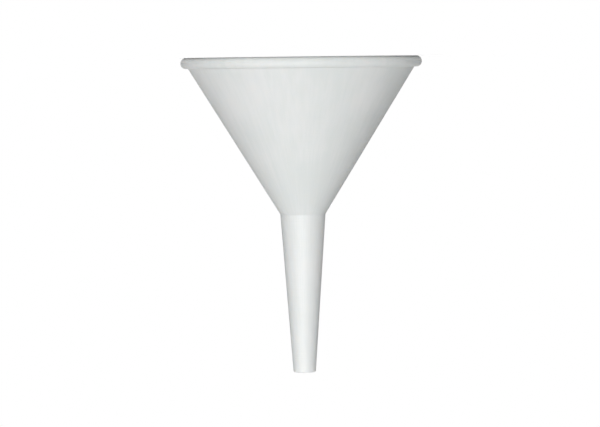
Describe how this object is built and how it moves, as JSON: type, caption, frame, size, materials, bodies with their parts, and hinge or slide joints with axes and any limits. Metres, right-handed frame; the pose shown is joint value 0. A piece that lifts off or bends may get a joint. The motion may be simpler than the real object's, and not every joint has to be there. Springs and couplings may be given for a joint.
{
  "type": "conical funnel",
  "caption": "Plain conical laboratory funnel with a round bead at the rim and a short tapered stem, standing on its mouth.",
  "frame": {"origin": "centre of the mouth, on the plane of the rim's crown that the funnel stands on", "axes": "+Z along the funnel's axis from the mouth to the stem's tip; the form is round, so X and Y are any two level directions"},
  "size_m": [0.1, 0.1, 0.1312],
  "materials": {
    "funnel": "natural milky white polypropylene, satin from the mould"
  },
  "bodies": {
    "root": {"funnel": "funnel"}
  },
  "joints": []
}
